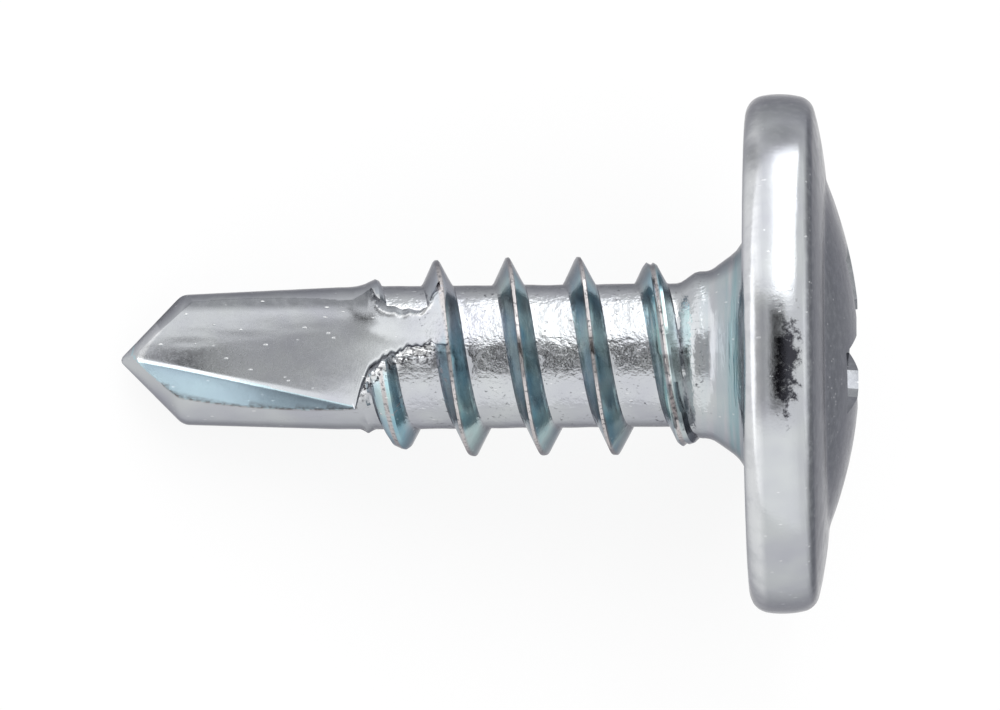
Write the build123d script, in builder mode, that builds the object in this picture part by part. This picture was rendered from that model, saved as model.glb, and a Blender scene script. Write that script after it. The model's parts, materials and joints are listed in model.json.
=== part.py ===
"""Self-drilling wafer-head screw, ST4.2 x 13, with a cross recess and a two-flute drill point.

The screw is first built upright: its axis is Z, the tip of the drill point is at z = 0 and the head is on top.
X points from the axis to the middle of the wheel that cut the first flute, and angles about the axis start there.
The finished solid is then laid down as a loose screw comes to rest, on the rim of its head and on the two edges
of one flute, with its tip towards -X.  Its origin is the middle of its footprint.
"""

import os
from math import acos, asin, atan, atan2, ceil, cos, degrees, hypot, radians, sin, sqrt, tan

from build123d import *

# Shank, with heights measured from the tip of the drill point
screw_length = 13.0  # tip to the bearing face under the head
root_radius = 1.483
neck_radius = 1.73
neck_length = 1.05  # plain neck and flare together
neck_step = 0.2  # height of the cone between the root of the thread and the neck
flare_height = 0.78
flare_angle = 35.5
flare_fillet = 0.8
neck_blend = 0.4

# Drill point
point_half_angle = 45.6
point_nose_radius = 0.12
point_corner_radius = 0.35
drill_radius = 1.349
drill_length = 4.8

# Thread, right-handed with a single start
major_radius = 2.058
thread_pitch = 1.475
thread_base_width = 0.63
thread_crest_width = 0.06
thread_sink = 0.12  # how far the foot of the ridge reaches into the core
thread_start = 4.75  # height where the crest leaves the core
thread_start_turn = -171.0  # angle about the axis of the ridge at that height
lead_in_angle = 20.5
run_out_angle = 20.0
run_out_overlap = 0.15  # length of neck that the fading thread covers

# Flutes, each the print of a wheel with a round rim, closed by a flat cutting face
flute_count = 2
flute_length = 6.9
web_thickness = 0.56
wheel_radius = 11.6
wheel_rim_radius = 3.14
wheel_height = 1.63
wheel_offset = 0.3
wheel_slant = 11.2
face_offset = -0.02
face_angle = 35.0
face_slant = 4.9

# Flats that relieve the heel of each land on the point
relief_turn = -56.0
relief_half_angle = 40.25

# Head, with heights measured from the bearing face
head_radius = 5.37
rim_height = 1.36
rim_bulge = 0.1
rim_lower_radius = 0.3
rim_upper_radius = 0.25
flange_height = 1.647
flange_bulge = 0.04
dome_base_radius = 3.6
dome_radius = 9.8

# Cross recess
recess_span = 4.4  # across two wings, where they meet the dome
recess_depth = 2.1  # from there down to the foot of the wings
recess_wing_width = 1.29
recess_wing_draft = 5.75
recess_end_angle = 26.5
recess_core_radius = 1.15
recess_core_draft = 9.0
recess_floor_angle = 28.0
recess_turn = 16.5
recess_clearance = 0.1  # how far the cut is carried above the dome

# Heights and radii that follow from the sizes above
neck_z = screw_length - neck_length
root_top_z = neck_z - neck_step
flare_z = screw_length - flare_height
flare_radius = neck_radius + flare_height * tan(radians(flare_angle))
rim_radius = head_radius - rim_bulge
rim_top_z = screw_length + rim_height
flange_z = screw_length + flange_height
dome_center_z = flange_z - sqrt(dome_radius**2 - dome_base_radius**2)
apex_z = dome_center_z + dome_radius
cone_apex_z = point_nose_radius * (1 - 1 / sin(radians(point_half_angle)))
corner_z = cone_apex_z + drill_radius / tan(radians(point_half_angle))


def arc_through(start, end, bulge):
    """Draw the arc between two points that stands off their chord by the bulge, to the right of the way."""
    chord_x, chord_y = end[0] - start[0], end[1] - start[1]
    chord = hypot(chord_x, chord_y)
    middle = (
        (start[0] + end[0]) / 2 + bulge * chord_y / chord,
        (start[1] + end[1]) / 2 - bulge * chord_x / chord,
    )
    return ThreePointArc(start, middle, end)


# Core: point, shank, neck and head in one body of revolution
with BuildPart() as core:
    with BuildSketch(Plane.XZ) as half_section:
        with BuildLine():
            nose = CenterArc((0, point_nose_radius), point_nose_radius, -90, 90 - point_half_angle)
            shank = Polyline(
                nose @ 1,
                (drill_radius, corner_z),
                (root_radius, drill_length),
                (root_radius, root_top_z),
                (neck_radius, neck_z),
                (neck_radius, flare_z),
                (flare_radius, screw_length),
                (rim_radius, screw_length),
            )
            arc_through((rim_radius, screw_length), (rim_radius, rim_top_z), rim_bulge)
            arc_through((rim_radius, rim_top_z), (dome_base_radius, flange_z), flange_bulge)
            dome_start = degrees(acos(dome_base_radius / dome_radius))
            CenterArc((0, dome_center_z), dome_radius, dome_start, 90 - dome_start)
            Line((0, apex_z), (0, 0))
        make_face()
        for radius, height, softening in (
            (drill_radius, corner_z, point_corner_radius),
            (neck_radius, flare_z, neck_blend),
            (flare_radius, screw_length, flare_fillet),
            (rim_radius, screw_length, rim_lower_radius),
            (rim_radius, rim_top_z, rim_upper_radius),
        ):
            fillet(half_section.vertices().sort_by_distance((radius, height))[0], softening)
    revolve(axis=Axis.Z)

# Thread: a ridge made turn by turn along a helix and trimmed by the cones of its lead-in and run-out
lead_in_slope = tan(radians(lead_in_angle))
run_out_slope = tan(radians(run_out_angle))
flank_slope = (thread_base_width - thread_crest_width) / (major_radius - root_radius)
ridge_foot_width = thread_base_width + thread_sink * flank_slope
ridge_bottom_z = thread_start - thread_sink / lead_in_slope
thread_end = neck_z + run_out_overlap
ridge_top_z = thread_end + thread_sink / run_out_slope
trim_radius = major_radius + thread_sink
helix_z = ridge_bottom_z - thread_base_width
helix_turn = thread_start_turn - 360 * (thread_start - helix_z) / thread_pitch
turn_count = ceil((ridge_top_z - helix_z) / thread_pitch)

with BuildPart() as whole_turn:
    with BuildLine() as helix:
        Helix(thread_pitch, thread_pitch, root_radius, center=(0, 0, helix_z))
    with BuildSketch(Plane(origin=(0, 0, helix_z), x_dir=(1, 0, 0), z_dir=(0, -1, 0))):
        with BuildLine():
            Polyline(
                (root_radius - thread_sink, -ridge_foot_width / 2),
                (major_radius, -thread_crest_width / 2),
                (major_radius, thread_crest_width / 2),
                (root_radius - thread_sink, ridge_foot_width / 2),
                close=True,
            )
        make_face()
    sweep(path=helix.wires()[0], is_frenet=True)

with BuildPart() as trim:
    with BuildSketch(Plane.XZ):
        with BuildLine():
            Polyline(
                (0, ridge_bottom_z),
                (root_radius - thread_sink, ridge_bottom_z),
                (trim_radius, thread_start + (trim_radius - root_radius) / lead_in_slope),
                (trim_radius, thread_end - (trim_radius - neck_radius) / run_out_slope),
                (neck_radius - thread_sink, ridge_top_z),
                (0, ridge_top_z),
                close=True,
            )
        make_face()
    revolve(axis=Axis.Z)

thread_turns = []
for index in range(turn_count):
    with BuildPart() as turn:
        with Locations((0, 0, index * thread_pitch)):
            add(whole_turn.part, rotation=(0, 0, helix_turn))
        add(trim.part, mode=Mode.INTERSECT)
    thread_turns.append(turn.part)

# Print of the wheel in one flute
flute_reach = wheel_rim_radius
with BuildPart() as flute:
    with BuildSketch(Plane.XY.offset(-point_nose_radius)):
        with BuildLine():
            face_start = face_offset - point_nose_radius * tan(radians(face_slant))
            Polyline(
                (0, face_start),
                (flute_reach, face_start + flute_reach * tan(radians(face_angle))),
                (flute_reach, -flute_reach),
                (0, -flute_reach),
                close=True,
            )
        make_face()
    extrude(
        amount=(flute_length + point_nose_radius) / cos(radians(face_slant)),
        dir=(0, sin(radians(face_slant)), cos(radians(face_slant))),
    )
    wheel_plane = Plane(
        origin=(web_thickness / 2 + wheel_radius, wheel_offset, wheel_height),
        x_dir=(1, 0, 0),
        z_dir=(0, cos(radians(wheel_slant)), sin(radians(wheel_slant))),
    )
    with Locations(wheel_plane):
        Torus(wheel_radius - wheel_rim_radius, wheel_rim_radius, mode=Mode.INTERSECT)

# Flat behind the heel of one land
relief_size = 4 * drill_radius
with BuildPart() as relief:
    relief_plane = Plane(
        origin=(0, 0, cone_apex_z),
        z_dir=(
            cos(radians(relief_turn)) * cos(radians(relief_half_angle)),
            sin(radians(relief_turn)) * cos(radians(relief_half_angle)),
            -sin(radians(relief_half_angle)),
        ),
    )
    with BuildSketch(relief_plane):
        Rectangle(relief_size, relief_size)
    extrude(amount=relief_size)

# Driver recess: two crossing wings, a tapered core and a conical floor
recess_rim_z = dome_center_z + sqrt(dome_radius**2 - (recess_span / 2) ** 2)
recess_foot_z = recess_rim_z - recess_depth
recess_top_z = apex_z + recess_clearance
wing_widening = 2 * tan(radians(recess_wing_draft))
wing_lengthening = 2 * tan(radians(recess_end_angle))
recess_foot_span = recess_span - recess_depth * wing_lengthening
recess_core_foot = recess_core_radius - recess_depth * tan(radians(recess_core_draft))
recess_core_top = recess_core_radius + (recess_top_z - recess_rim_z) * tan(radians(recess_core_draft))
recess_floor_depth = recess_foot_span / 2 * tan(radians(recess_floor_angle))
with BuildPart() as recess:
    for wing_turn in (0, 90):
        for height in (recess_foot_z, recess_top_z):
            with BuildSketch(Plane.XY.offset(height)):
                Rectangle(
                    recess_span + (height - recess_rim_z) * wing_lengthening,
                    recess_wing_width + (height - recess_rim_z) * wing_widening,
                    rotation=wing_turn,
                )
        loft()
    with Locations((0, 0, (recess_foot_z + recess_top_z) / 2)):
        Cone(recess_core_foot, recess_core_top, recess_top_z - recess_foot_z)
    with Locations((0, 0, recess_foot_z - recess_floor_depth / 2)):
        Cone(0, recess_foot_span / 2, recess_floor_depth)

# The whole screw, upright
with BuildPart() as upright:
    add(core.part)
    for thread_turn in thread_turns:
        add(thread_turn)
    with PolarLocations(0, flute_count):
        add(flute.part, mode=Mode.SUBTRACT)
        add(relief.part, mode=Mode.SUBTRACT)
    add(recess.part, rotation=(0, 0, recess_turn), mode=Mode.SUBTRACT)

# Rest: the line from the rim of the head to the two edges of the lower flute lies on the ground
lip_turn = face_angle + degrees(asin((face_offset + corner_z * tan(radians(face_slant))) / drill_radius))
rim_center_x = web_thickness / 2 + wheel_rim_radius
rim_center_y = wheel_offset - (corner_z - wheel_height) * tan(radians(wheel_slant))
rim_distance = hypot(rim_center_x, rim_center_y)
heel_cosine = (drill_radius**2 + rim_distance**2 - wheel_rim_radius**2) / (2 * drill_radius * rim_distance)
heel_turn = degrees(atan2(rim_center_y, rim_center_x) - acos(heel_cosine))
flute_turn = (lip_turn + heel_turn) / 2
edge_radius = drill_radius * cos(radians((lip_turn - heel_turn) / 2))
lean = degrees(atan((head_radius - edge_radius) / (screw_length + rim_height / 2 - corner_z)))

lying = Plane(
    origin=(0, 0, 0),
    x_dir=(-sin(radians(lean)), 0, cos(radians(lean))),
    z_dir=(cos(radians(lean)), 0, sin(radians(lean))),
)
laid_down = upright.part.rotate(Axis.Z, -flute_turn).moved(lying.location)
footprint = laid_down.bounding_box()
with BuildPart() as screw:
    with Locations((-footprint.center().X, -footprint.center().Y, -footprint.min.Z)):
        add(laid_down)

screw.part.label = "screw"
os.makedirs("parts", exist_ok=True)
export_step(screw.part, "parts/screw.step")
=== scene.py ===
"""Looks of the self-drilling screw: one finely modelled piece in place of the CAD solid.

The piece is built upright in millimetres, as the CAD model is: the axis is Z, the tip is at z = 0 and X
points from the axis to the middle of the wheel that cut the first flute.  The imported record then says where
the axis of the lying screw runs, and the finished mesh is moved there once, in metres.
"""

import json
from math import acos, atan2, cos, hypot, pi, radians, sin, sqrt, tan

import bmesh
import bpy
import numpy as np
from mathutils import Matrix, Vector


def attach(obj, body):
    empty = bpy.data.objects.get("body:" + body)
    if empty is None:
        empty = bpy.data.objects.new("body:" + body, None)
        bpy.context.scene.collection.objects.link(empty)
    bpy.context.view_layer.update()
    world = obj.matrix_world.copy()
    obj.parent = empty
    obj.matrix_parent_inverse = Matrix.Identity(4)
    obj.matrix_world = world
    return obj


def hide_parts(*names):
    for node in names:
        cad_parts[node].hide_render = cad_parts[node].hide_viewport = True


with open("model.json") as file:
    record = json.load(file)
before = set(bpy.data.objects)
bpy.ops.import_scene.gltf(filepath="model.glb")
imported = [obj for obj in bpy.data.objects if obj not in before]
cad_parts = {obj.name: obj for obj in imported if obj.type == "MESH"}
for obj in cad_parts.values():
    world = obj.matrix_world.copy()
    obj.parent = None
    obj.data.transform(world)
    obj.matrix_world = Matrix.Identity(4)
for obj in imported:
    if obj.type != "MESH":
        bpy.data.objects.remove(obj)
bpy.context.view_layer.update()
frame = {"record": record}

mm = 0.001  # a millimetre in metres

# Driving sizes of the screw, in millimetres and degrees
screw_length = 13.0
root_radius = 1.483
neck_radius = 1.73
neck_z = 11.95
neck_swell = 0.42  # height over which the root widens to the neck
neck_swell_end = 0.08  # how far above neck_z the swell ends
flare_height = 0.78
flare_angle = 35.5
flare_fillet = 0.8
neck_blend = 0.4
point_half_angle = 45.6
point_nose_radius = 0.12
point_corner_radius = 0.35
drill_radius = 1.349
drill_length = 4.8
major_radius = 2.058
thread_pitch = 1.475
thread_crest_width = 0.06
thread_left_flank = 24.5
thread_right_flank = 27.5
thread_start = 4.75
thread_end = 12.1
crest_z = 6.925  # height of one crest on the side that X points to
head_radius = 5.37
rim_height = 1.36
rim_bulge = 0.1
rim_lower_radius = 0.42
rim_upper_radius = 0.4
rim_upper_reach = 0.34  # how far down the side its upper rounding reaches
flange_height = 1.647
flange_bulge = 0.04
dome_base_radius = 3.6
dome_radius = 9.8
web_thickness = 0.56
wheel_radius = 11.6
wheel_rim_radius = 3.14
wheel_height = 1.63
wheel_offset = 0.3
wheel_slant = 11.2
corner_start_y = -0.09
corner_slant = 0.219  # run of the foot of the cutting face, across for each millimetre up
face_slope = 0.7
face_end_z = 4.9  # above it the face is torn
relief_turn = -56.0
relief_half_angle = 40.25
recess_span = 4.4
recess_depth = 2.1
recess_wing_width = 1.29
recess_wing_draft = 5.75
recess_end_angle = 26.5
recess_core_radius = 1.15
recess_core_draft = 9.0
recess_floor_angle = 28.0
recess_turn = 16.5
recess_clearance = 0.1  # how far the cut is carried above the dome
flute_turn = -10.45  # from X to the middle of the first flute

# Heights that follow
flange_z = screw_length + flange_height
dome_center_z = flange_z - sqrt(dome_radius**2 - dome_base_radius**2)
apex_z = dome_center_z + dome_radius
cone_apex_z = point_nose_radius * (1 - 1 / sin(radians(point_half_angle)))
corner_z = cone_apex_z + drill_radius / tan(radians(point_half_angle))

# Where the lying screw's own directions point in the row frame
mounts = {mount["name"]: mount for mount in frame["record"]["mounts"]}
axis_way = Vector(mounts["drive_recess"]["axis"]).normalized()
side_way = Vector((0, -1, 0))
upper_way = side_way.cross(axis_way)
turn = radians(-flute_turn)
x_way = cos(turn) * upper_way + sin(turn) * side_way
y_way = axis_way.cross(x_way)
thread_middle = Vector(mounts["thread"]["pos_m"])
tip = thread_middle - axis_way * (thread_start + thread_end) / 2 * mm
own_ways = Matrix((x_way, y_way, axis_way)).transposed().to_4x4()
screw_place = Matrix.Translation(tip) @ own_ways @ Matrix.Scale(mm, 4)


# Smooth noise


def waves(seed, count, low, high):
    """Return wave numbers and phases for a smooth noise of a few dozen waves."""
    random = np.random.default_rng(seed)
    length = random.uniform(low, high, count)
    way = random.uniform(0, 2 * pi, count)
    return length * np.cos(way), length * np.sin(way), random.uniform(0, 2 * pi, count)


def noise(x, y, seed, low, high, count=24):
    """Return a smooth noise of about -1 to 1 at x, y, with waves of low to high radians a millimetre."""
    total = np.zeros(np.broadcast(x, y).shape)
    for along, across, phase in zip(*waves(seed, count, low, high)):
        total += np.sin(along * x + across * y + phase)
    return total / sqrt(count)


def smooth_max(a, b, width):
    """Return the larger of two heights, blended over the width."""
    share = np.clip(0.5 + (a - b) / (2 * width), 0, 1)
    return b + (a - b) * share + width * share * (1 - share)


def smooth_min(a, b, width):
    """Return the smaller of two heights, blended over the width."""
    return -smooth_max(-a, -b, width)


# Outline of the core

nose_points = 7
dome_points = 25
fillet_points = 14
side_aim = 7  # the point of the rim's side, from either end, that its roundings turn towards
top_aim = 6  # the point of the flange's top that the upper rounding turns towards


def rounded(before, corner, after, radius, steps=8):
    """Return the points of an arc that rounds a corner."""
    before, corner, after = (np.array(point, float) for point in (before, corner, after))
    way_in = (before - corner) / np.linalg.norm(before - corner)
    way_out = (after - corner) / np.linalg.norm(after - corner)
    half = acos(np.clip(way_in @ way_out, -1, 1)) / 2
    reach = radius / tan(half)
    middle = corner + (way_in + way_out) / np.linalg.norm(way_in + way_out) * radius / sin(half)
    start = corner + way_in * reach - middle
    end = corner + way_out * reach - middle
    sweep = atan2(start[0] * end[1] - start[1] * end[0], start @ end)
    points = []
    for angle in np.linspace(0, sweep, steps):
        x = cos(angle) * start[0] - sin(angle) * start[1]
        y = sin(angle) * start[0] + cos(angle) * start[1]
        points.append(middle + np.array((x, y)))
    return points


def bulged(start, end, bulge, steps=25):
    """Return the points of a shallow arc that stands off its chord by the bulge."""
    start, end = np.array(start), np.array(end)
    chord = end - start
    out = np.array((chord[1], -chord[0])) / np.linalg.norm(chord)
    return [start + chord * t + out * bulge * 4 * t * (1 - t) for t in np.linspace(0, 1, steps)]


def arc(middle, radius, start, end, steps):
    """Return the points of an arc around a point on the axis, between two angles."""
    angles = np.linspace(start, end, steps)
    return [np.array((radius * cos(angle), middle + radius * sin(angle))) for angle in angles]


def neck_outline(steps=16):
    """Return the points of the soft swell from the root to the neck."""
    share = (1 - np.cos(np.linspace(0, pi, steps))) / 2
    height = np.linspace(neck_z - neck_swell, neck_z + neck_swell_end, steps)
    return list(np.stack((root_radius + (neck_radius - root_radius) * share, height), axis=-1))


def core_outline():
    """Return the radius and height of the core along its outline, from the tip to the middle of the dome."""
    nose = arc(point_nose_radius, point_nose_radius, -pi / 2, -radians(point_half_angle), nose_points)
    corner = (drill_radius, corner_z)
    drill_end = (root_radius, drill_length)
    neck_end = (neck_radius, neck_z + neck_swell_end)
    flare = (neck_radius, screw_length - flare_height)
    bearing = (neck_radius + flare_height * tan(radians(flare_angle)), screw_length)
    lower_rim = (head_radius - rim_bulge, screw_length)
    upper_rim = (head_radius - rim_bulge, screw_length + rim_height)
    side = bulged(lower_rim, upper_rim, rim_bulge)
    side_start = screw_length + rim_lower_radius
    side_end = screw_length + rim_height - rim_upper_reach
    top = bulged(upper_rim, (dome_base_radius, flange_z), flange_bulge)
    dome = arc(dome_center_z, dome_radius, acos(dome_base_radius / dome_radius), pi / 2, dome_points)
    points = list(nose)
    points += rounded(nose[-1], corner, drill_end, point_corner_radius)
    points += [np.array(drill_end)]
    points += neck_outline()
    points += rounded(neck_end, flare, bearing, neck_blend)
    points += rounded(flare, bearing, lower_rim, flare_fillet, fillet_points)
    points += rounded(bearing, lower_rim, side[side_aim], rim_lower_radius)
    points += [point for point in side if side_start < point[1] < side_end]
    points += rounded(side[-side_aim], upper_rim, top[top_aim], rim_upper_radius)
    points += top[top_aim + 1:]
    points += dome[1:]
    return np.array(points)


outline = core_outline()
outline_length = np.concatenate(([0], np.cumsum(np.hypot(*np.diff(outline, axis=0).T))))


def outline_at(distance):
    """Return the core's radius and height at a distance along its outline."""
    return (np.interp(distance, outline_length, outline[:, 0]),
            np.interp(distance, outline_length, outline[:, 1]))


# Rows are marked by height on the shank, and by distance along the outline on the nose and the head
row_start_z = 0.3
row_end_z = screw_length - 0.05
first_points = 40  # points of the outline that surely pass row_start_z
on_shank = (outline[:, 1] > row_start_z) & (outline[:, 1] < row_end_z)
nose_length = np.interp(row_start_z, outline[:first_points, 1], outline_length[:first_points])
shank_heights = outline[on_shank][:, 1]
shank_lengths = outline_length[on_shank]
head_length = outline_length[-1] - shank_lengths[-1]
row_marks = np.concatenate(([row_start_z - nose_length], shank_heights, [shank_heights[-1] + head_length]))
row_lengths = np.concatenate(([0], shank_lengths, [outline_length[-1]]))


def distance_at_row(mark):
    """Return the distance along the outline at a row mark."""
    return np.interp(mark, row_marks, row_lengths)


def core_radius(mark):
    """Return the radius of the core at a row mark, which on the shank is a height."""
    return outline_at(distance_at_row(mark))[0]


# Shank and head as one spiral grid, whose rows follow the thread

columns = 280
point_rows = 66
grid_turns = 7
fine_step = 0.055  # between the rows on the curves of the head
coarse_step = 0.14
rim_width = 0.55  # of the ring inside the rim that has fine steps
flare_width = 0.5  # of the ring around the neck that has fine steps
first_gap = 0.012  # from the tip to the first row
last_gap = 0.01  # from the last row to the middle of the dome
head_gap = 0.02  # from the last row of the thread to row_end_z
# Rows of one turn, as heights from its crest
ridge_rows = (-0.44, -0.37, -0.31, -0.26, -0.2, -0.13, -0.07, -0.03, 0.0, 0.03, 0.07, 0.13, 0.2, 0.27,
              0.33, 0.39, 0.46, 0.54, 0.63, 0.73, 0.83, 0.93)
turn_rows = len(ridge_rows)


def head_rows(mark, last):
    """Return the row marks of the head, closer together where its outline curves."""
    marks = []
    while mark < last - last_gap:
        radius = core_radius(mark)
        curved = radius > head_radius - rim_width or radius < neck_radius + flare_width
        mark += fine_step if curved else coarse_step
        marks.append(mark)
    return [mark for mark in marks if mark < last - last_gap] + [last]


def row_list():
    """Return the row marks of every row at the first column."""
    first_crest = crest_z - 2 * thread_pitch
    crests = [first_crest + index * thread_pitch for index in range(grid_turns)]
    thread_rows = [crest + offset for crest in crests for offset in ridge_rows]
    thread_rows = [z for z in thread_rows if z < row_end_z - head_gap]
    start = row_marks[0] + first_gap
    last = row_marks[-1] - last_gap
    point = list(np.linspace(start, thread_rows[0], point_rows)[:-1])
    head = head_rows(thread_rows[-1], last)
    return np.array([start] * turn_rows + point + thread_rows + head + [last] * turn_rows)


def from_crest(angle, z):
    """Return the height from the nearest crest, at an angle and height."""
    along = z - crest_z - thread_pitch * angle / (2 * pi)
    return (along + thread_pitch / 2) % thread_pitch - thread_pitch / 2


# Heights and how far out the ridge may reach there: it fades in over the flutes and out at the neck
ridge_reach = ((4.72, 1.45), (5.08, 1.55), (5.82, 1.90), (6.56, 2.02), (7.3, 2.058), (10.3, 2.058),
               (10.9, 1.91), (11.65, 1.90), (11.9, 1.82), (12.1, 1.745), (12.3, 1.6))
trim_blend = 0.02  # over which the ridge rounds where it is trimmed
root_blend = 0.035  # over which the ridge rounds into the root
crest_wobble = 0.008
root_wobble = 0.005
fade_margin = (0.2, 0.3)  # how far before and after the thread the ridge fades out
seam_start_z = 10.3  # from here to the neck the crest has a seam
seam_run = 0.5
seam_depth = 0.05
seam_width = 0.045
burr_z = 5.2
burr_swing = 0.08
burr_rise = 0.05
burr_width = 0.055


def crest_envelope(angle, z):
    """Return how far out the ridge may reach."""
    heights, radii = zip(*ridge_reach)
    return np.interp(z, heights, radii) + crest_wobble * noise(angle * 2, z, seed=3, low=1, high=4)


def burr_height(angle, z):
    """Return the height of the lip that the wheel pushed up around the shank."""
    middle = burr_z - burr_swing * np.sin(angle)
    uneven = 1 + 0.8 * np.sin(angle) + 0.3 * noise(angle * 3, z, seed=6, low=1, high=4)
    return burr_rise * np.exp(-((z - middle) / burr_width) ** 2) * uneven


def shank_radius(angle, z, core):
    """Return the radius of the threaded shank at an angle and height."""
    along = from_crest(angle, z) + crest_wobble * noise(angle * 2, z, seed=4, low=1, high=4)
    slope = np.where(along < 0, tan(radians(thread_left_flank)), tan(radians(thread_right_flank)))
    ridge = major_radius - np.maximum(np.abs(along) - thread_crest_width / 2, 0) / slope
    ridge = smooth_min(ridge, crest_envelope(angle, z), trim_blend)
    seam = np.clip((z - seam_start_z) / seam_run, 0, 1) * np.exp(-(along / seam_width) ** 2)
    ridge = ridge - seam_depth * seam * (1 + 0.5 * noise(angle * 3, z, seed=8, low=1, high=4))
    rough = root_wobble * noise(angle * 3, z * 2, seed=5, low=1, high=5)
    low = np.interp(ridge - core, (0, 0.3), (1, 0.25))
    torn = low * torn_edge(angle, z) * torn_height(angle * root_radius, z)
    raised = burr_height(angle, z) + torn
    threaded = (z > thread_start - fade_margin[0]) & (z < thread_end + fade_margin[1])
    return np.where(threaded, smooth_max(core + rough, ridge, root_blend) + raised, core)


def blank_mesh():
    """Return the vertices and faces of the screw before its flutes, reliefs and recess are cut."""
    rows = row_list()
    count = len(rows)
    share = np.arange(columns) / columns
    later = np.minimum(np.arange(count) + turn_rows, count - 1)
    distance = distance_at_row(rows[:, None] * (1 - share) + rows[later][:, None] * share)
    angle = np.broadcast_to(2 * pi * share, distance.shape)
    core, z = outline_at(distance)
    radius = shank_radius(angle, z, core)
    points = np.stack((radius * np.cos(angle), radius * np.sin(angle), z), axis=-1).reshape(-1, 3)
    row, column = np.meshgrid(np.arange(count - 1 - turn_rows), np.arange(columns), indexing="ij")
    next_row = np.where(column == columns - 1, row + turn_rows, row)
    next_column = (column + 1) % columns
    faces = np.stack((row * columns + column, next_row * columns + next_column,
                      (next_row + 1) * columns + next_column, (row + 1) * columns + column), axis=-1)
    faces = [tuple(face) for face in faces.reshape(-1, 4).tolist()]
    last_ring = (count - 1 - turn_rows) * columns
    tip_point, apex_point = len(points), len(points) + 1
    points = np.vstack((points, ((0, 0, 0), (0, 0, apex_z))))
    for index in range(columns):
        following = (index + 1) % columns
        faces.append((following, index, tip_point))
        faces.append((last_ring + index, last_ring + following, apex_point))
    return points, faces


# Meshes


def new_object(name, points, faces):
    """Return a new mesh object in the scene with this surface."""
    mesh = bpy.data.meshes.new(name)
    mesh.from_pydata([tuple(point) for point in np.asarray(points).tolist()], [], faces)
    mesh.validate()
    mesh.update()
    thing = bpy.data.objects.new(name, mesh)
    bpy.context.scene.collection.objects.link(thing)
    return thing


def merge(thing, distance):
    """Merge vertices that lie together, drop those that only split an edge, cut up the faces with more than
    four corners and turn all faces outwards."""
    shape = bmesh.new()
    shape.from_mesh(thing.data)
    bmesh.ops.remove_doubles(shape, verts=shape.verts, dist=distance)
    bmesh.ops.dissolve_degenerate(shape, edges=shape.edges, dist=distance)
    spare = [vertex for vertex in shape.verts if len(vertex.link_edges) == 2]
    bmesh.ops.dissolve_verts(shape, verts=spare)
    broad = [face for face in shape.faces if len(face.verts) > 4]
    bmesh.ops.triangulate(shape, faces=broad, quad_method="BEAUTY", ngon_method="BEAUTY")
    bmesh.ops.recalc_face_normals(shape, faces=shape.faces)
    shape.to_mesh(thing.data)
    shape.free()


def cut(thing, cutter):
    """Take a cutter out of a thing and delete the cutter."""
    step = thing.modifiers.new("cut", "BOOLEAN")
    step.operation = "DIFFERENCE"
    step.solver = "EXACT"
    step.object = cutter
    seen = thing.evaluated_get(bpy.context.evaluated_depsgraph_get())
    mesh = bpy.data.meshes.new_from_object(seen)
    thing.modifiers.clear()
    old = thing.data
    thing.data = mesh
    bpy.data.meshes.remove(old)
    bpy.data.objects.remove(cutter)


def loft(sections):
    """Return the points and faces of a closed solid through sections that all have as many points."""
    count, size = sections.shape[:2]
    faces = []
    for row in range(count - 1):
        for column in range(size):
            following = (column + 1) % size
            faces.append((row * size + column, row * size + following,
                          (row + 1) * size + following, (row + 1) * size + column))
    faces.append(tuple(reversed(range(size))))
    faces.append(tuple(range((count - 1) * size, count * size)))
    return sections.reshape(-1, 3), faces


# Floor of a flute, as the wheel left it

late_start_z = 4.6  # above it the floor sinks on its far side
late_run = 1.2
late_slope = 0.6
late_edge_y = -0.35
late_blend = 0.2
scoop_start_z = 5.22  # above it the floor curls up on its far side
scoop_entry = 0.1
scoop_foot_y = -0.84
scoop_end_z = 6.35
scoop_spread = 0.9
scoop_ragged = 0.03
scoop_curl = 6
scoop_height = 1.9


def wheel_floor(y, z):
    """Return how far from the axis the wheel left the floor of the flute."""
    slant = radians(wheel_slant)
    across, up = y - wheel_offset, z - wheel_height
    sideways = across * cos(slant) + up * sin(slant)
    along = up * cos(slant) - across * sin(slant)
    reach = wheel_radius - wheel_rim_radius
    reach = reach + np.sqrt(np.maximum(wheel_rim_radius**2 - sideways**2, 0.2))
    depth = web_thickness / 2 + wheel_radius - np.sqrt(np.maximum(reach**2 - along**2, 0))
    late = np.clip((z - late_start_z) / late_run, 0, 1)
    late = late_slope * late**2 * (3 - 2 * late)
    return depth - late * smooth_max(late_edge_y - y, 0, late_blend) + scoop(y, z)


def scoop(y, z):
    """Return how far the floor of the flute curls up at its far side, where the wheel left the shank."""
    foot = scoop_foot_y - scoop_spread * np.exp(-(z - scoop_start_z) / scoop_entry)
    foot = foot - scoop_spread * np.maximum(z - scoop_end_z, 0)
    foot = foot + scoop_ragged * noise(z, 0 * z, seed=21, low=8, high=30)
    return np.minimum(scoop_curl * np.maximum(foot - y, 0) ** 2, scoop_height)


# Cutting face of a flute, which is torn above face_end_z

# Heights of the torn face, where it crosses the axis plane there and how steeply it leaves it
torn_face = ((4.9, 0.40, 0.7), (5.02, 0.20, 0.45), (5.2, 0.0, 0.25),
             (5.55, -0.22, 0.15), (6.2, -0.38, 0.1), (7.0, -0.45, 0.1))
torn_rise = 0.035
torn_middle = 0.1  # how far beside the cutting face the metal is torn up most
torn_width = 0.16


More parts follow.
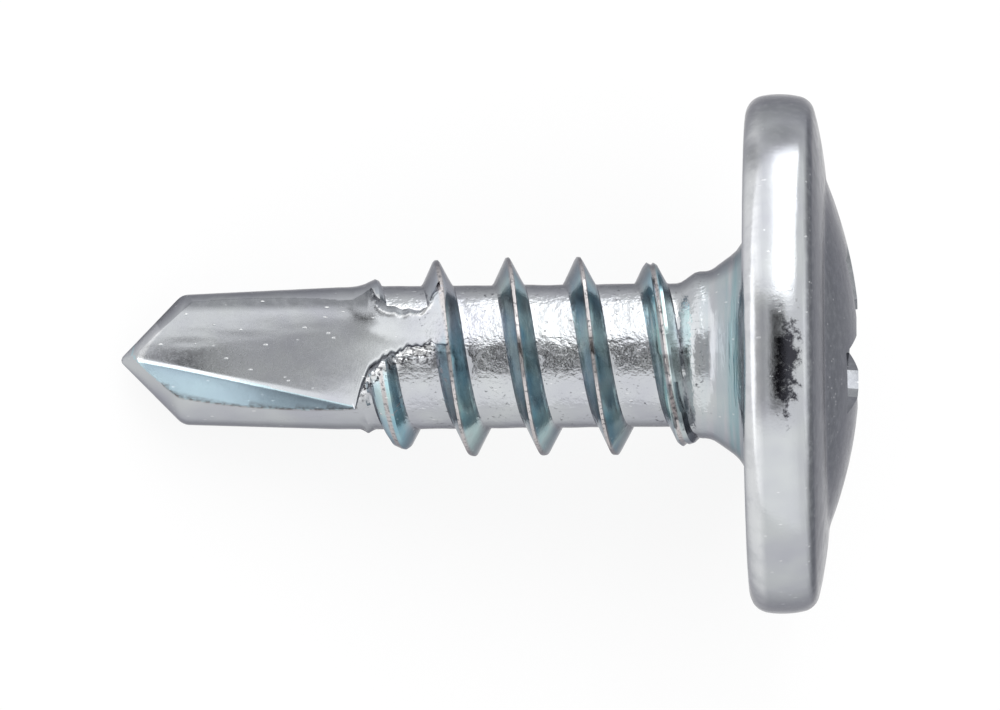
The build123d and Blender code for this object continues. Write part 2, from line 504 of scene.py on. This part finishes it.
def flute_face(z):
    """Return where the cutting face crosses the axis plane and how steeply it leaves it, at a height."""
    corner_y = corner_start_y + z * corner_slant
    straight = corner_y - face_slope * wheel_floor(corner_y, z)
    heights, starts, slopes = zip(*torn_face)
    torn_start = np.interp(z, heights, starts)
    torn_slope = np.interp(z, heights, slopes)
    ragged = np.interp(z, (4.9, 5.1, 6.9, 7.0), (0, 1, 1, 0))
    coarse = 0.04 * noise(z, 0 * z, seed=11, low=6, high=20)
    fine = 0.02 * noise(z, 0 * z, seed=12, low=30, high=60)
    torn_start = torn_start + ragged * (coarse + fine)
    torn = z > face_end_z
    return np.where(torn, torn_start, straight), np.where(torn, torn_slope, face_slope)


def side_of(x):
    """Return 1 on the side of the first flute and -1 on the side of the second."""
    return np.where(x < 0, -1, 1)


def beside_face(x, y, z):
    """Return how far a point lies beside the cutting face of the nearer flute."""
    start, slope = flute_face(z)
    side = side_of(x)
    return y * side - start - slope * x * side


def torn_height(across, z):
    """Return how far the torn metal stands up."""
    coarse = 0.05 * noise(across, z, seed=7, low=5, high=16)
    fine = 0.03 * noise(across, z, seed=17, low=20, high=45)
    return torn_rise + coarse + fine


def torn_edge(angle, z):
    """Return 0 to 1, how much the metal is torn up beside the end of a flute."""
    beside = beside_face(root_radius * np.cos(angle), root_radius * np.sin(angle), z)
    near = np.exp(-((beside - torn_middle) / torn_width) ** 2)
    return near * np.interp(z, (5.0, 5.15, 6.5, 6.65), (0, 1, 1, 0))


# Cutters

cutter_reach = 3.2
cutter_far_y = -2.4
cutter_start_z = -0.4
cutter_end_z = 6.95
cutter_levels = 170
lean_start_z = 6  # above it the sections lean over
lean_slope = 0.17
floor_points = 60
face_points = 16
bend_points = 8
corner_softening = 0.11
corner_rounds = 12  # of closing in on where the face meets the floor
floor_wobble = 0.003
round_sides = 48
round_turn = 0.01  # keeps the corners of round cutters away from the columns of the screw
merge_distance = 2e-4
cutter_merge_distance = 1e-5
sharp_angle = 32
square = ((-1, -1), (1, -1), (1, 1), (-1, 1))


def flute_section(z):
    """Return the closed outline of the print of the wheel at a height."""
    start, slope = flute_face(z)
    corner_y = start
    for _ in range(corner_rounds):
        corner_y = start + slope * wheel_floor(corner_y, z)
    corner = np.array((wheel_floor(corner_y, z), corner_y))
    face_end = corner + corner_softening * np.array((1, slope)) / hypot(1, slope)
    face = np.linspace((cutter_reach, start + slope * cutter_reach), face_end, face_points)
    y = np.linspace(corner_y - corner_softening, cutter_far_y, floor_points)
    x = wheel_floor(y, z) + floor_wobble * noise(y * 4, z * 0.6, seed=12, low=1, high=9)
    floor_end = np.array((x[0], y[0]))
    share = np.linspace(0, 1, bend_points)[1:-1, None]
    bend = (1 - share) ** 2 * face_end + 2 * share * (1 - share) * corner + share**2 * floor_end
    return np.vstack((face, bend, np.stack((x, y), axis=-1), ((cutter_reach, cutter_far_y),)))


def flute_cutter(half_turn):
    """Return the print of the wheel in one flute."""
    sections = []
    for z in np.linspace(cutter_start_z, cutter_end_z, cutter_levels):
        section = flute_section(z)
        late = max(0, (z - lean_start_z) / (cutter_end_z - lean_start_z))
        level = z + lean_slope * np.clip(section[:, 1], -1.5, 0.5) * late
        sections.append(np.column_stack((section, level)))
    sections = np.array(sections)
    if half_turn:
        sections[:, :, :2] *= -1
    return new_object("flute", *loft(sections))


def relief_cutter(angle):
    """Return the block that flattens the heel of one land."""
    size = 4 * drill_radius
    lean_in, around = radians(relief_half_angle), radians(angle)
    out = Vector((cos(around) * cos(lean_in), sin(around) * cos(lean_in), -sin(lean_in)))
    across = Vector((-sin(around), cos(around), 0))
    up = out.cross(across)
    cone_apex = Vector((0, 0, cone_apex_z))
    corners = []
    for depth in (0, size):
        for side, rise in square:
            corners.append(out * depth + (across * side + up * rise) * size / 2 + cone_apex)
    return new_object("relief", *loft(np.array(corners).reshape(2, 4, 3)))


def wing_cutter(wing, rim_z, levels):
    """Return one wing of the driver recess, turned by an angle from the first."""
    around = radians(recess_turn + wing)
    sections = []
    for z in levels:
        half_length = recess_span / 2 + (z - rim_z) * tan(radians(recess_end_angle))
        half_width = recess_wing_width / 2 + (z - rim_z) * tan(radians(recess_wing_draft))
        section = []
        for a, b in square:
            x = cos(around) * a * half_length - sin(around) * b * half_width
            y = sin(around) * a * half_length + cos(around) * b * half_width
            section.append((x, y, z))
        sections.append(section)
    return new_object("wing", *loft(np.array(sections)))


def round_cutter(name, levels):
    """Return a round cutter through these radii and heights."""
    angles = np.linspace(0, 2 * pi, round_sides, endpoint=False) + round_turn
    sections = []
    for radius, z in levels:
        level = np.full(round_sides, z)
        sections.append(np.stack((radius * np.cos(angles), radius * np.sin(angles), level), axis=-1))
    return new_object(name, *loft(np.array(sections)))


def recess_cutters():
    """Return the two wings, the floor and the core of the driver recess, one after another."""
    rim_z = dome_center_z + sqrt(dome_radius**2 - (recess_span / 2) ** 2)
    foot_z = rim_z - recess_depth
    top_z = apex_z + recess_clearance
    for wing in (0, 90):
        yield wing_cutter(wing, rim_z, (foot_z, top_z))
    tip_radius = 0.02
    overlap = 0.01
    foot_radius = recess_span / 2 - recess_depth * tan(radians(recess_end_angle))
    floor_z = foot_z - (foot_radius - tip_radius) * tan(radians(recess_floor_angle))
    yield round_cutter("floor", ((tip_radius, floor_z), (foot_radius, foot_z)))
    slope = tan(radians(recess_core_draft))
    core_foot = (recess_core_radius - (rim_z - foot_z) * slope, foot_z - overlap)
    core_top = (recess_core_radius + (top_z - rim_z) * slope, top_z)
    yield round_cutter("core", (core_foot, core_top))


def all_cutters():
    """Return every cutter of the screw, one after another."""
    for index in (0, 1):
        yield flute_cutter(half_turn=index == 1)
        yield relief_cutter(relief_turn + 180 * index)
    yield from recess_cutters()


def make_screw():
    """Return the whole screw as one mesh, in its place in the row frame."""
    screw = new_object("screw_body", *blank_mesh())
    merge(screw, merge_distance)
    for cutter in all_cutters():
        merge(cutter, cutter_merge_distance)
        cut(screw, cutter)
    merge(screw, merge_distance)
    mark_surfaces(screw)
    screw.data.transform(screw_place)
    screw.data.shade_smooth()
    screw.data.set_sharp_from_angle(angle=radians(sharp_angle))
    return screw


# Marks on the surface, which the plating follows, among them painted shade, a painted dark reflection and a
# painted highlight

lip_end_z = 4.95  # above it neither the cutting face nor its worn lip is marked
lip_middle = 0.012  # how far beside the cutting face its lip is worn most
lip_width = 0.035
scoop_lip_width = 0.07
rim_inner_radius = 4.6  # outside it the surface belongs to the rim
floor_tolerance = 0.02
face_tolerance = 0.03
flute_end_z = 6.9
heel_end_z = 5.2
uncut_tolerance = 0.05
spot_size_x = 1.2


def spot(x, y, z, middle, size_y, size_z):
    """Return a soft spot of 0 to 1 on the surface around a point."""
    across = (y - middle[1]) / size_y
    outward = (x - middle[0]) / spot_size_x
    along = (z - middle[2]) / size_z
    return np.exp(-across**2 - outward**2 - along**2)


def lip_edge(x, y, z):
    """Return 0 to 1 near the sharp edge of a cutting face."""
    return np.exp(-((beside_face(x, y, z) - lip_middle) / lip_width) ** 2) * (z < lip_end_z)


def scoop_lip(x, y, z):
    """Return 0 to 1 near the torn edge of the shank above the scoop."""
    side = side_of(x)
    x, y = x * side, y * side
    near = np.exp(-((x - wheel_floor(y, z)) / scoop_lip_width) ** 2) * (scoop(y, z) > 0.01)
    return near * np.interp(z, (5.15, 5.3, 6.5, 6.6), (0, 1, 1, 0))


def point_edge(x, y, z, radius):
    """Return 0 to 1 on the strip of the flute that runs beside the cone of the point."""
    inside = np.maximum(z - cone_apex_z, 0) * tan(radians(point_half_angle)) - radius
    upper = y * side_of(x) < -0.03
    strip = np.interp(inside, (0.01, 0.03, 0.15, 0.2), (0, 1, 1, 0))
    return strip * np.interp(z, (0.8, 1.1), (1, 0)) * upper


def rim_edge(z, radius):
    """Return 0 to 1 on the rounded lower edge of the head, which is painted brighter: partly plating rubbed
    bright, partly a painted highlight.
    """
    return np.interp(z, (12.98, 13.04, 13.3, 13.42), (0, 1, 1, 0)) * (radius > rim_inner_radius)


def bareness_and_highlight(x, y, z, radius):
    """Return 0 to 1, how bright the metal is painted: bare at the scoop and the point, and on the rim's lower
    edge partly bare, partly a painted highlight.
    """
    layers = (
        0.9 * scoop_lip(x, y, z),
        # painted highlight along the rim's lower edge, partly rubbed plating
        0.55 * rim_edge(z, radius),
        0.8 * point_edge(x, y, z, radius),
    )
    return np.max(layers, axis=0)


def painted_shade_amount(x, y, z, radius):
    """Return 0 to 1, how much painted shade darkens the plating: painted dark reflections on the top of the
    head, in two patches on its rim, along both sides of the screw and by the heels."""
    uncut = radius > core_radius(z) - uncut_tolerance
    sideways = y / np.maximum(radius, 0.05)
    side = side_of(x)
    on_floor = (np.abs(x * side - wheel_floor(y * side, z)) < floor_tolerance) & (z < heel_end_z)
    top_share = np.interp(radius, (1.5, 3.4, 3.7, 4.9), (0.8, 0.95, 0.85, 0.8))
    layers = (
        np.interp(-sideways, (0.8, 0.97), (0, 0.75)) * uncut,
        np.interp(sideways, (0.9, 0.99), (0, 0.6)) * uncut,
        np.interp(z, (14.25, 14.33, 14.42, 14.5), (0, 1, 1, 0.8)) * (radius > rim_inner_radius),
        np.interp(z, (14.35, 14.45), (0, 1)) * top_share,
        0.6 * spot(x, y, z, (2.9, -4.5, 13.8), size_y=0.42, size_z=0.55),
        0.7 * spot(x, y, z, (3.45, -4.1, 13.2), size_y=0.4, size_z=0.2),
        on_floor * np.interp(-y * side, (0.98, 1.12), (0, 0.8)),
    )
    return np.clip(np.max(layers, axis=0), 0, 1)


def vertex_marks(points):
    """Return the marks that are stored on vertices."""
    x, y, z = points.T
    radius, angle = np.hypot(x, y), np.arctan2(y, x)
    along = from_crest(angle, z)
    core = core_radius(z)
    shank = np.interp(z, (5.2, 5.35, 12.1, 12.3), (0, 1, 1, 0))
    rise = np.interp(radius - core, (0.03, 0.14), (0, 1))
    fading = np.interp(z, (11.3, 11.75), (1, 0.2))
    worn = 0.9 * np.interp(z, (6.95, 7.15), (1, 0)) * np.interp(y, (-0.65, -0.15), (1, 0)) * (x > 0)
    neck = np.interp(z, (11.8, 12.3, 12.55, 12.68, 12.86, 12.96), (0, 0.25, 0.3, 1, 1, 0))
    return {
        "left_flank": shank * rise * fading * (along < 0) * (1 - worn),
        "right_flank": shank * rise * fading * (along >= 0) * (1 - worn),
        "lip": lip_edge(x, y, z) * (radius > core - 0.03),
        "crest": shank * np.interp(np.abs(along), (0.03, 0.07), (1, 0)) * rise,
        "root": shank * (1 - rise),
        "torn": torn_edge(angle, z) * (radius > root_radius - 0.12),
        "bare_and_highlight": bareness_and_highlight(x, y, z, radius),
        # painted dark reflection on the side of the rim that faces the camera
        "painted_dark_reflection": spot(x, y, z, (5.37, 0.22, 13.9), size_y=1.45, size_z=0.37),
        # painted shade: darker top of the head, two patches on the rim, both sides and the heels
        "painted_shade": painted_shade_amount(x, y, z, radius),
        "neck": neck * (radius < 3),
    }


def face_marks(centers):
    """Return the marks of whole faces, which are stored on their corners so that they end sharply."""
    x, y, z = centers.T
    side = side_of(x)
    x, y = x * side, y * side
    in_flute = (z < flute_end_z) & (np.hypot(x, y) < major_radius)
    on_floor = in_flute & (np.abs(x - wheel_floor(y, z)) < floor_tolerance)
    start, slope = flute_face(z)
    on_plane = np.abs(y - start - slope * x) < face_tolerance
    on_face = in_flute & ~on_floor & on_plane & (z < lip_end_z)
    return {"flute_floor": on_floor, "cutting_face": on_face}


def mark_surfaces(screw):
    """Store the place and the kind of each part of the surface on the mesh, for the plating to follow."""
    mesh = screw.data
    points = np.empty(len(mesh.vertices) * 3)
    mesh.vertices.foreach_get("co", points)
    points = points.reshape(-1, 3)
    for name, values in vertex_marks(points).items():
        layer = mesh.attributes.new(name, "FLOAT", "POINT")
        layer.data.foreach_set("value", np.asarray(values, dtype=np.float32))
    layer = mesh.attributes.new("place", "FLOAT_VECTOR", "POINT")
    layer.data.foreach_set("vector", points.astype(np.float32).ravel())

    centers = np.empty(len(mesh.polygons) * 3)
    mesh.polygons.foreach_get("center", centers)
    sizes = np.empty(len(mesh.polygons), dtype=np.int32)
    mesh.polygons.foreach_get("loop_total", sizes)
    for name, values in face_marks(centers.reshape(-1, 3)).items():
        layer = mesh.attributes.new(name, "FLOAT", "CORNER")
        layer.data.foreach_set("value", np.repeat(values.astype(np.float32), sizes))


# Node helpers


def add_node(tree, kind, settings=(), inputs=()):
    """Add a node with these settings, and join or set these inputs."""
    node = tree.nodes.new(kind)
    for name, value in settings:
        setattr(node, name, value)
    for socket, value in inputs:
        if isinstance(value, bpy.types.NodeSocket):
            tree.links.new(value, node.inputs[socket])
        else:
            node.inputs[socket].default_value = value
    return node


def calculate(tree, operation, *values):
    """Return the result of a sum on sockets and numbers."""
    inputs = list(enumerate(values))
    return add_node(tree, "ShaderNodeMath", [("operation", operation)], inputs).outputs[0]


def product(tree, first, *others):
    """Return sockets and numbers multiplied together."""
    for value in others:
        first = calculate(tree, "MULTIPLY", first, value)
    return first


def dot(tree, vector, way):
    """Return the part of a vector that lies along a fixed way."""
    settings = [("operation", "DOT_PRODUCT")]
    return add_node(tree, "ShaderNodeVectorMath", settings, [(0, vector), (1, tuple(way))]).outputs["Value"]


def scaled(tree, vector, stretch):
    """Return a vector with each of its parts multiplied by a number."""
    settings = [("operation", "MULTIPLY")]
    return add_node(tree, "ShaderNodeVectorMath", settings, [(0, vector), (1, stretch)]).outputs[0]


def fade(tree, value, start, end, low=0.0, high=1.0):
    """Return a smooth step from low to high while the value runs from start to end."""
    inputs = [("Value", value), ("From Min", start), ("From Max", end), ("To Min", low), ("To Max", high)]
    settings = [("interpolation_type", "SMOOTHSTEP")]
    return add_node(tree, "ShaderNodeMapRange", settings, inputs).outputs["Result"]


def blend(tree, share, first, second):
    """Return a number between the first and the second."""
    inputs = [(0, share), (2, first), (3, second)]
    return add_node(tree, "ShaderNodeMix", [("data_type", "FLOAT")], inputs).outputs[0]


def tint(tree, share, first, second):
    """Return a colour between the first and the second."""
    inputs = [(0, share), (6, first), (7, second)]
    return add_node(tree, "ShaderNodeMix", [("data_type", "RGBA")], inputs).outputs[2]


def attribute(tree, name):
    """Return the node that reads one of the screw's own attributes."""
    return add_node(tree, "ShaderNodeAttribute", [("attribute_name", name)])


def grain(tree, place, scale, detail, stretch=(1, 1, 1), roughness=0.55):
    """Return a noise of 0 to 1 over the screw, at a scale per millimetre."""
    vector = scaled(tree, place, stretch)
    inputs = [("Vector", vector), ("Scale", scale), ("Detail", detail), ("Roughness", roughness)]
    return add_node(tree, "ShaderNodeTexNoise", (), inputs).outputs[0]


def bump(tree, height, distance, normal=None):
    """Return the surface normal with a height of 0 to 1 added, at its depth in metres."""
    inputs = [("Distance", distance), ("Height", height)]
    if normal:
        inputs.append(("Normal", normal))
    return add_node(tree, "ShaderNodeBump", (), inputs).outputs["Normal"]


# Material

bright_zinc = (0.50, 0.52, 0.53, 1)
lilac_zinc = (0.42, 0.43, 0.47, 1)
blue_zinc = (0.27, 0.45, 0.53, 1)
green_zinc = (0.50, 0.65, 0.64, 1)
neck_zinc = (0.30, 0.42, 0.45, 1)
face_zinc = (0.42, 0.53, 0.57, 1)
crest_zinc = (0.50, 0.475, 0.475, 1)
# dull zinc of the pitted crests, also the colour of the painted shade
dull_zinc_and_painted_shade = (0.14, 0.147, 0.16, 1)
brown_grime = (0.11, 0.095, 0.09, 1)
# near black of the root pits, also used for painted shade and a painted dark reflection
grime_and_painted_shade = (0.012, 0.012, 0.02, 1)
silver = (0.80, 0.81, 0.82, 1)
edge_tint = (0.5, 0.5, 0.53, 1)  # of reflections at a glancing angle
mark_names = ("left_flank", "right_flank", "crest", "root", "flute_floor", "cutting_face", "neck", "painted_dark_reflection",
              "painted_shade", "lip", "torn", "bare_and_highlight")
# Depths of the bumps, in metres
swell_depth = 0.000012
root_depth = 0.00003
ripple_depth = 0.000014
pit_depth = 0.00002


def zinc_textures(tree, place):
    """Return the noises that the plating is made of, by name."""
    return {
        "clouds": grain(tree, place, 0.8, 2),
        "patches": grain(tree, place, 2.6, 5, roughness=0.6),
        "pits": grain(tree, place, 12.0, 5, (1, 1, 0.85), 0.72),
        "streaks": grain(tree, place, 1.1, 4, (0.2, 0.2, 5.0), 0.6),
        "blotches": grain(tree, place, 4.2, 8, roughness=0.75),
        "smudges": grain(tree, place, 5.0, 5, roughness=0.7),
        "ripples": grain(tree, place, 8.5, 2, (1, 1, 0.9), 0.6),
        "swell": grain(tree, place, 0.9, 2),
    }


def zinc_flecks(tree, place, marks, textures):
    """Return 0 to 1 on the small bright scratches, which show most in the flutes."""
    cells = [("Vector", scaled(tree, place, (3.0, 4.6, 1.8))), ("Scale", 1.5)]
    distance = add_node(tree, "ShaderNodeTexVoronoi", (), cells).outputs["Distance"]
    near = fade(tree, distance, 0.16, 0.09)
    some = fade(tree, textures["patches"], 0.47, 0.52)
    return product(tree, near, some, blend(tree, marks["flute_floor"], 0.35, 1.0))


def plated_colour(tree, marks, textures):
    """Return the colour of the clean plating: bluer on the flanks, the neck and the cutting faces."""
    clouds = textures["clouds"]
    colour = tint(tree, fade(tree, clouds, 0.25, 0.75), bright_zinc, lilac_zinc)
    flank = product(tree, calculate(tree, "ADD", marks["left_flank"], marks["right_flank"]), marks["uncut"])
    flank_colour = tint(tree, fade(tree, clouds, 0.40, 0.60), green_zinc, blue_zinc)
    uneven = fade(tree, textures["patches"], 0.25, 0.55, low=0.6, high=1.0)
    share = product(tree, flank, uneven, blend(tree, marks["left_flank"], 1.0, 0.7))
    colour = tint(tree, share, colour, flank_colour)
    share = product(tree, marks["neck"], fade(tree, textures["streaks"], 0.35, 0.60))
    colour = tint(tree, share, colour, neck_zinc)
    colour = tint(tree, marks["cutting_face"], colour, face_zinc)
    return tint(tree, product(tree, marks["crest"], marks["uncut"]), colour, crest_zinc)


def torn_colour(tree, marks, textures, colour):
    """Return the colour with the worn lips, the torn metal with painted shade in its gaps, and the bare
    edges, among them the rim's lower edge, which is partly a painted highlight.
    """
    pits = textures["pits"]
    lip_wear = product(tree, marks["lip"], fade(tree, pits, 0.42, 0.58, low=0.35, high=0.95))
    colour = tint(tree, lip_wear, colour, brown_grime)
    torn = marks["torn"]
    colour = tint(tree, torn, colour, silver)
    # bare metal, and a painted highlight on the rim's lower edge
    bare_and_highlight = product(tree, marks["bare_and_highlight"], fade(tree, textures["patches"], 0.3, 0.6, low=0.5, high=1.0))
    colour = tint(tree, bare_and_highlight, colour, silver)
    # painted shade in the gaps of the torn metal
    gap_shade = product(tree, torn, calculate(tree, "SUBTRACT", 1.15, torn), 3.0)
    gap_shade = calculate(tree, "MINIMUM", gap_shade, 1.0)
    return tint(tree, product(tree, gap_shade, fade(tree, pits, 0.50, 0.57)), colour, grime_and_painted_shade)


def pitted_and_painted_shade_colour(tree, marks, textures, colour):
    """Return the colour with the pitted crests and roots, a painted dark reflection on the rim and the
    painted shade.
    """
    pits = textures["pits"]
    crest_pits = product(tree, marks["crest"], fade(tree, pits, 0.50, 0.62, low=0.0, high=0.8))
    colour = tint(tree, crest_pits, colour, dull_zinc_and_painted_shade)
    root_pits = product(tree, fade(tree, pits, 0.57, 0.66, low=0.0, high=0.85), marks["root"],
                        fade(tree, textures["patches"], 0.46, 0.6), marks["uncut"])
    colour = tint(tree, root_pits, colour, grime_and_painted_shade)
    # painted dark reflection on the rim, plus random dark blotches where the noise runs high
    painted_dark_reflection = calculate(tree, "ADD", marks["painted_dark_reflection"], product(tree, textures["blotches"], 2.4))
    colour = tint(tree, fade(tree, painted_dark_reflection, 1.72, 2.12, low=0.0, high=0.93), colour, grime_and_painted_shade)
    # painted shade over the top of the head, two rim patches, both sides and the heels
    painted_shade = product(tree, marks["painted_shade"], fade(tree, textures["smudges"], 0.3, 0.6, low=0.8, high=1.0))
    return tint(tree, painted_shade, colour, dull_zinc_and_painted_shade)


def zinc_normal(tree, marks, textures, flecks):
    """Return the surface normal: a faint swell, rough roots, streaks on the neck, pits and scratches."""
    rough_root = product(tree, marks["root"], marks["uncut"])
    streak_height = product(tree, marks["neck"], textures["streaks"])
    height = calculate(tree, "ADD", product(tree, rough_root, textures["patches"]), streak_height)
    fine_height = calculate(tree, "ADD", product(tree, textures["pits"], 0.12), product(tree, flecks, 0.3))
    normal = bump(tree, textures["swell"], swell_depth)
    normal = bump(tree, height, root_depth, normal)
    normal = bump(tree, product(tree, rough_root, textures["ripples"]), ripple_depth, normal)
    return bump(tree, fine_height, pit_depth, normal)


def zinc_material():
    """Return bright zinc plating on cold-formed steel, with its tints, scratches, pits and rough roots."""
    material = bpy.data.materials.new("zinc_plating")
    material.use_nodes = True
    tree = material.node_tree
    shader = tree.nodes["Principled BSDF"]
    shader.inputs["Metallic"].default_value = 1.0
    shader.inputs["Specular Tint"].default_value = edge_tint
    place = attribute(tree, "place").outputs["Vector"]
    marks = {name: attribute(tree, name).outputs["Fac"] for name in mark_names}
    cut_surface = calculate(tree, "MAXIMUM", marks["flute_floor"], marks["cutting_face"])
    marks["uncut"] = calculate(tree, "SUBTRACT", 1.0, cut_surface)
    textures = zinc_textures(tree, place)
    flecks = zinc_flecks(tree, place, marks, textures)

    colour = plated_colour(tree, marks, textures)
    colour = torn_colour(tree, marks, textures, colour)
    colour = pitted_and_painted_shade_colour(tree, marks, textures, colour)
    colour = tint(tree, flecks, colour, silver)
    tree.links.new(colour, shader.inputs["Base Color"])

    smooth = fade(tree, textures["patches"], 0.3, 0.7, low=0.10, high=0.20)
    milled = fade(tree, textures["pits"], 0.3, 0.7, low=0.2, high=0.3)
    tree.links.new(blend(tree, marks["flute_floor"], smooth, milled), shader.inputs["Roughness"])
    tree.links.new(zinc_normal(tree, marks, textures, flecks), shader.inputs["Normal"])
    return material


# Stage

floor_half = 0.6
floor_white = (0.93, 0.93, 0.93, 1)
floor_glow = 0.85  # share of plain white that the camera and reflections see in it
pure_white = (1, 1, 1, 1)


def make_floor():
    """Make the plain white floor that the screw lies on."""
    corners = np.array([(x, y, 0) for x, y in square]) * floor_half
    floor = new_object("floor", corners, [(0, 1, 2, 3)])
    material = bpy.data.materials.new("white_floor")
    material.use_nodes = True
    tree = material.node_tree
    shader = tree.nodes["Principled BSDF"]
    shader.inputs["Base Color"].default_value = floor_white
    shader.inputs["Roughness"].default_value = 1.0
    shader.inputs["Specular IOR Level"].default_value = 0.0
    ray = add_node(tree, "ShaderNodeLightPath")
    seen = calculate(tree, "MAXIMUM", ray.outputs["Is Camera Ray"], ray.outputs["Is Glossy Ray"])
    white = add_node(tree, "ShaderNodeEmission", (), [("Color", pure_white), ("Strength", 1.0)])
    inputs = [(0, product(tree, seen, floor_glow)), (1, shader.outputs[0]), (2, white.outputs[0])]
    mixed = add_node(tree, "ShaderNodeMixShader", (), inputs)
    tree.links.new(mixed.outputs[0], tree.nodes["Material Output"].inputs["Surface"])
    floor.data.materials.append(material)


# Levels of the studio around the screw.  A direction is given by its part up the picture and its part
# along the screw's axis, which both run from -1 to 1.
middle_level = 1.1
plain_level = 0.62  # the unlit ceiling around the camera
upper_panel_level = 1.5
lower_panel_level = 1.3
tip_side_level = 1.7
head_side_level = 1.1
head_end_level = 1.6
# Which part of the direction counts, where each panel starts, where it is full, and its level
panels = (
    ("along", -0.12, -0.24, plain_level),
    ("up", 0.38, 0.52, upper_panel_level),
    ("up", -0.30, -0.6, lower_panel_level),
    ("along", -0.58, -0.8, tip_side_level),
    ("along", 0.2, 0.5, head_side_level),
    ("along", 0.84, 0.96, head_end_level),
)
strip_level = 2.9  # the strip lamp across the screw
strip_middle = 0.15
strip_sides = (0.23, 0.17)
strip_foot = (0.34, 0.5)
hole_level = 0.05  # the hole for the camera between the lamps
hole_middle = 0.01
hole_sides = (0.16, 0.09)
hole_ends = (0.5, 0.3)


def distance_from(tree, value, middle):
    """Return how far a value lies from its middle."""
    return calculate(tree, "ABSOLUTE", calculate(tree, "SUBTRACT", value, middle))


def make_world(image_up):
    """Light the scene with a strip lamp and panels around a darker ceiling."""
    world = bpy.data.worlds.new("studio")
    world.use_nodes = True
    bpy.context.scene.world = world
    tree = world.node_tree
    way = add_node(tree, "ShaderNodeTexCoord").outputs["Generated"]
    parts = {"up": dot(tree, way, image_up), "along": dot(tree, way, axis_way)}
    level = middle_level
    for part, start, full, panel_level in panels:
        level = blend(tree, fade(tree, parts[part], start, full), level, panel_level)
    strip_width = distance_from(tree, parts["along"], strip_middle)
    strip = product(tree, fade(tree, strip_width, *strip_sides), fade(tree, parts["up"], *strip_foot))
    level = blend(tree, strip, level, strip_level)
    hole_width = distance_from(tree, parts["along"], hole_middle)
    hole_height = calculate(tree, "ABSOLUTE", parts["up"])
    hole = product(tree, fade(tree, hole_width, *hole_sides), fade(tree, hole_height, *hole_ends))
    level = blend(tree, hole, level, hole_level)
    ray = add_node(tree, "ShaderNodeLightPath")
    level = blend(tree, ray.outputs["Is Camera Ray"], level, 1.0)
    tree.links.new(level, tree.nodes["Background"].inputs["Strength"])
    tree.nodes["Background"].inputs["Color"].default_value = pure_white


# Camera, set so that the tip and the head lie where they do in the 1000 x 710 picture

picture_width, picture_height = 1000, 710
pixels_per_mm = 48.2
camera_distance = 0.2
camera_yaw = 2.9
camera_roll = 0.57
tip_pixel = (121.5, 360.5)
sensor_width = 36
nearest_seen = 0.01
farthest_seen = 5


def make_camera():
    """Set up the camera and return the way up in its picture."""
    data = bpy.data.cameras.new("camera")
    camera = bpy.data.objects.new("camera", data)
    bpy.context.scene.collection.objects.link(camera)
    bpy.context.scene.camera = camera
    view_width = picture_width / pixels_per_mm * mm
    data.sensor_width = sensor_width
    data.clip_start = nearest_seen
    data.clip_end = farthest_seen
    data.lens = sensor_width * camera_distance / view_width
    yaw, roll = radians(camera_yaw), radians(camera_roll)
    back = cos(yaw) * x_way + sin(yaw) * axis_way
    right = cos(yaw) * axis_way - sin(yaw) * x_way
    up = back.cross(right)
    image_right = cos(roll) * right - sin(roll) * up
    image_up = cos(roll) * up + sin(roll) * right
    across = (picture_width / 2 - tip_pixel[0]) / pixels_per_mm * mm
    above = (tip_pixel[1] - picture_height / 2) / pixels_per_mm * mm
    target = tip + image_right * across + image_up * above
    place = target + back * camera_distance
    camera_ways = Matrix((image_right, image_up, back)).transposed().to_4x4()
    camera.matrix_world = Matrix.Translation(place) @ camera_ways
    return image_up


screw = make_screw()
screw.data.materials.clear()
screw.data.materials.append(zinc_material())
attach(screw, "root")
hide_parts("screw")
make_floor()
make_world(make_camera())
bpy.context.scene.view_settings.view_transform = "Standard"
